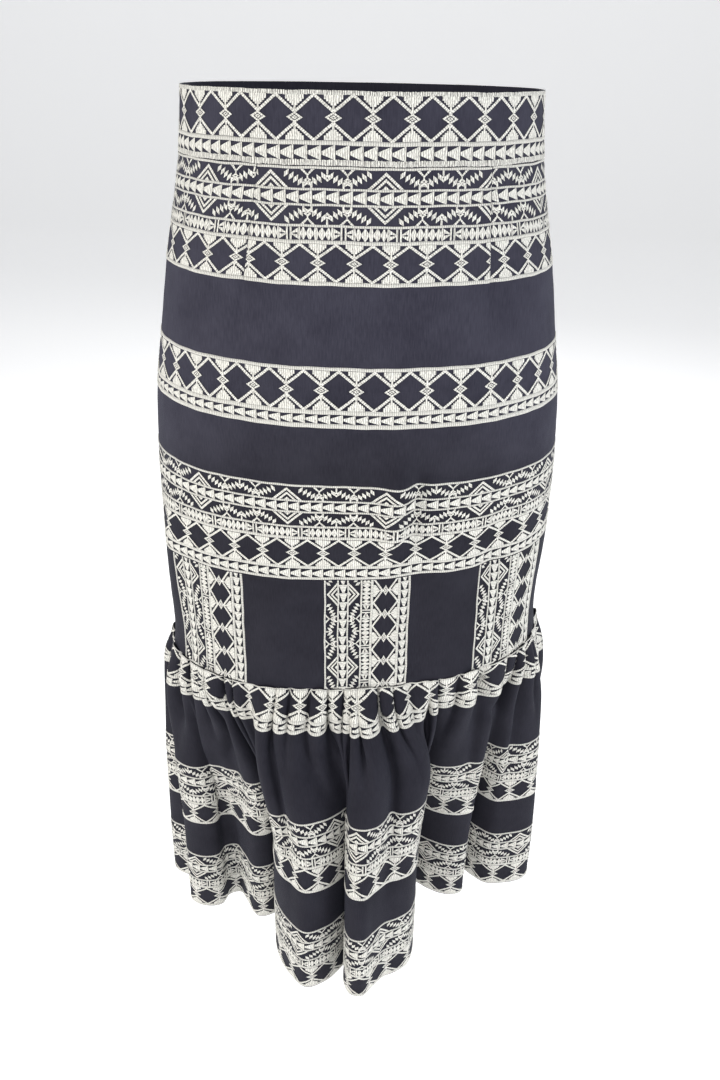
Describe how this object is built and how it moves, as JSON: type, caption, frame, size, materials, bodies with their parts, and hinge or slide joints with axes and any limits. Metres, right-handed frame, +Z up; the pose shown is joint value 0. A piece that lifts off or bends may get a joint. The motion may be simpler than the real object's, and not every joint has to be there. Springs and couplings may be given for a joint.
{
  "type": "maxi skirt",
  "caption": "Long fitted skirt in its worn hollow form: a waistband, a darted tube and a full gathered flounce with deep hem folds.",
  "frame": {"origin": "centre of the waist opening, level with the top edge of the waistband", "axes": "+Z up out of the waist opening, -Y towards the back of the skirt, +X towards the right of someone looking at the back"},
  "size_m": [0.4546, 0.36, 0.9068],
  "materials": {
    "embroidered_cloth": "dark navy plain-weave cotton and viscose cloth, matt, with bands of ivory satin-stitch embroidery"
  },
  "bodies": {
    "root": {"waistband_back": "embroidered_cloth", "waistband_front": "embroidered_cloth", "skirt_back": "embroidered_cloth", "skirt_front": "embroidered_cloth", "flounce_back": "embroidered_cloth", "flounce_front": "embroidered_cloth"}
  },
  "joints": []
}
